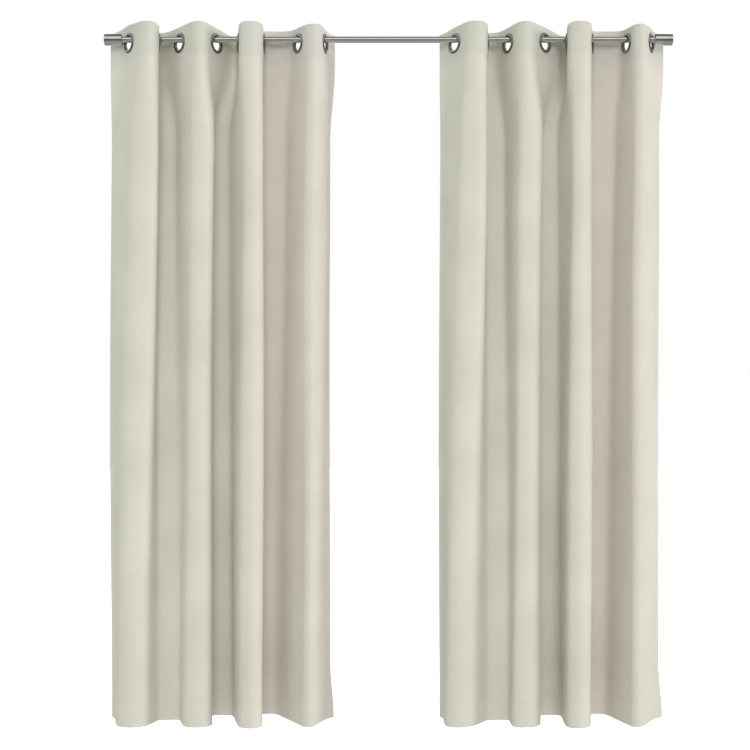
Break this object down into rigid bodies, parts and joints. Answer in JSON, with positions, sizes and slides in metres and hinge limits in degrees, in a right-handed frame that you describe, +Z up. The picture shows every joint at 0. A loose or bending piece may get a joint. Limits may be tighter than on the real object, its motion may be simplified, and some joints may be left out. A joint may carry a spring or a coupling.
{
  "type": "window curtains on a rod",
  "caption": "Pair of grommet-top fabric panels hanging in soft vertical folds from a round metal rod with cylindrical end caps and wall brackets.",
  "frame": {"origin": "on the wall plane, at the height of the rod axis, half way along the rod", "axes": "+X along the rod to the right as seen from the room, -Y out of the wall into the room, +Z up"},
  "size_m": [1.749, 0.1765, 2.134],
  "materials": {
    "rod_metal": "satin nickel plated",
    "bracket_metal": "satin nickel plated",
    "fixings": "plain steel",
    "eyelet_metal": "dark nickel, satin",
    "cloth": "dense plain weave, matt",
    "stiffener": "non-woven stiffener in the turned-over header"
  },
  "bodies": {
    "rod_and_brackets": {"rod_tube": "rod_metal", "left_finial_cap": "rod_metal", "left_finial_plug": "fixings", "left_finial_grub_screw": "fixings", "left_bracket_plate": "bracket_metal", "left_bracket_arm": "bracket_metal", "left_bracket_cup": "bracket_metal", "left_bracket_thumb_screw": "fixings", "left_top_wall_screw": "fixings", "left_bottom_wall_screw": "fixings", "left_curtain_cloth": "cloth", "left_header_band": "stiffener", "right_finial_cap": "rod_metal", "right_finial_plug": "fixings", "right_finial_grub_screw": "fixings", "right_bracket_plate": "bracket_metal", "right_bracket_arm": "bracket_metal", "right_bracket_cup": "bracket_metal", "right_bracket_thumb_screw": "fixings", "right_top_wall_screw": "fixings", "right_bottom_wall_screw": "fixings", "right_curtain_cloth": "cloth", "right_header_band": "stiffener", "left_eyelet_1_front": "eyelet_metal", "left_eyelet_1_back": "eyelet_metal", "right_eyelet_8_front": "eyelet_metal", "right_eyelet_8_back": "eyelet_metal"},
    "left_eyelet_8": {"left_eyelet_8_front": "eyelet_metal", "left_eyelet_8_back": "eyelet_metal"},
    "left_eyelet_2": {"left_eyelet_2_front": "eyelet_metal", "left_eyelet_2_back": "eyelet_metal"},
    "left_eyelet_3": {"left_eyelet_3_front": "eyelet_metal", "left_eyelet_3_back": "eyelet_metal"},
    "left_eyelet_4": {"left_eyelet_4_front": "eyelet_metal", "left_eyelet_4_back": "eyelet_metal"},
    "left_eyelet_5": {"left_eyelet_5_front": "eyelet_metal", "left_eyelet_5_back": "eyelet_metal"},
    "left_eyelet_6": {"left_eyelet_6_front": "eyelet_metal", "left_eyelet_6_back": "eyelet_metal"},
    "left_eyelet_7": {"left_eyelet_7_front": "eyelet_metal", "left_eyelet_7_back": "eyelet_metal"},
    "right_eyelet_1": {"right_eyelet_1_front": "eyelet_metal", "right_eyelet_1_back": "eyelet_metal"},
    "right_eyelet_2": {"right_eyelet_2_front": "eyelet_metal", "right_eyelet_2_back": "eyelet_metal"},
    "right_eyelet_3": {"right_eyelet_3_front": "eyelet_metal", "right_eyelet_3_back": "eyelet_metal"},
    "right_eyelet_4": {"right_eyelet_4_front": "eyelet_metal", "right_eyelet_4_back": "eyelet_metal"},
    "right_eyelet_5": {"right_eyelet_5_front": "eyelet_metal", "right_eyelet_5_back": "eyelet_metal"},
    "right_eyelet_6": {"right_eyelet_6_front": "eyelet_metal", "right_eyelet_6_back": "eyelet_metal"},
    "right_eyelet_7": {"right_eyelet_7_front": "eyelet_metal", "right_eyelet_7_back": "eyelet_metal"}
  },
  "joints": [
    {"name": "left_draw", "type": "slide", "parent": "rod_and_brackets", "child": "left_eyelet_8", "axis": [1, 0, 0], "range_m": [-0.28, 0.16], "deforming": ["left_curtain_cloth", "left_header_band"]},
    {"name": "left_eyelet_2_slide", "type": "slide", "parent": "rod_and_brackets", "child": "left_eyelet_2", "axis": [1, 0, 0], "range_m": [-0.04, 0.023]},
    {"name": "left_eyelet_3_slide", "type": "slide", "parent": "rod_and_brackets", "child": "left_eyelet_3", "axis": [1, 0, 0], "range_m": [-0.072, 0.041]},
    {"name": "left_eyelet_4_slide", "type": "slide", "parent": "rod_and_brackets", "child": "left_eyelet_4", "axis": [1, 0, 0], "range_m": [-0.119, 0.069]},
    {"name": "left_eyelet_5_slide", "type": "slide", "parent": "rod_and_brackets", "child": "left_eyelet_5", "axis": [1, 0, 0], "range_m": [-0.146, 0.084]},
    {"name": "left_eyelet_6_slide", "type": "slide", "parent": "rod_and_brackets", "child": "left_eyelet_6", "axis": [1, 0, 0], "range_m": [-0.19, 0.109]},
    {"name": "left_eyelet_7_slide", "type": "slide", "parent": "rod_and_brackets", "child": "left_eyelet_7", "axis": [1, 0, 0], "range_m": [-0.247, 0.142]},
    {"name": "right_draw", "type": "slide", "parent": "rod_and_brackets", "child": "right_eyelet_1", "axis": [-1, 0, 0], "range_m": [-0.28, 0.15], "deforming": ["right_curtain_cloth", "right_header_band"]},
    {"name": "right_eyelet_2_slide", "type": "slide", "parent": "rod_and_brackets", "child": "right_eyelet_2", "axis": [-1, 0, 0], "range_m": [-0.231, 0.124]},
    {"name": "right_eyelet_3_slide", "type": "slide", "parent": "rod_and_brackets", "child": "right_eyelet_3", "axis": [-1, 0, 0], "range_m": [-0.201, 0.108]},
    {"name": "right_eyelet_4_slide", "type": "slide", "parent": "rod_and_brackets", "child": "right_eyelet_4", "axis": [-1, 0, 0], "range_m": [-0.154, 0.083]},
    {"name": "right_eyelet_5_slide", "type": "slide", "parent": "rod_and_brackets", "child": "right_eyelet_5", "axis": [-1, 0, 0], "range_m": [-0.126, 0.068]},
    {"name": "right_eyelet_6_slide", "type": "slide", "parent": "rod_and_brackets", "child": "right_eyelet_6", "axis": [-1, 0, 0], "range_m": [-0.083, 0.045]},
    {"name": "right_eyelet_7_slide", "type": "slide", "parent": "rod_and_brackets", "child": "right_eyelet_7", "axis": [-1, 0, 0], "range_m": [-0.026, 0.015]}
  ],
  "couplings": [
    {"joint": "left_eyelet_2_slide", "follows": "left_draw", "ratio": 0.14},
    {"joint": "left_eyelet_3_slide", "follows": "left_draw", "ratio": 0.252},
    {"joint": "left_eyelet_4_slide", "follows": "left_draw", "ratio": 0.423},
    {"joint": "left_eyelet_5_slide", "follows": "left_draw", "ratio": 0.517},
    {"joint": "left_eyelet_6_slide", "follows": "left_draw", "ratio": 0.674},
    {"joint": "left_eyelet_7_slide", "follows": "left_draw", "ratio": 0.88},
    {"joint": "right_eyelet_2_slide", "follows": "right_draw", "ratio": 0.821},
    {"joint": "right_eyelet_3_slide", "follows": "right_draw", "ratio": 0.714},
    {"joint": "right_eyelet_4_slide", "follows": "right_draw", "ratio": 0.545},
    {"joint": "right_eyelet_5_slide", "follows": "right_draw", "ratio": 0.448},
    {"joint": "right_eyelet_6_slide", "follows": "right_draw", "ratio": 0.293},
    {"joint": "right_eyelet_7_slide", "follows": "right_draw", "ratio": 0.091}
  ]
}
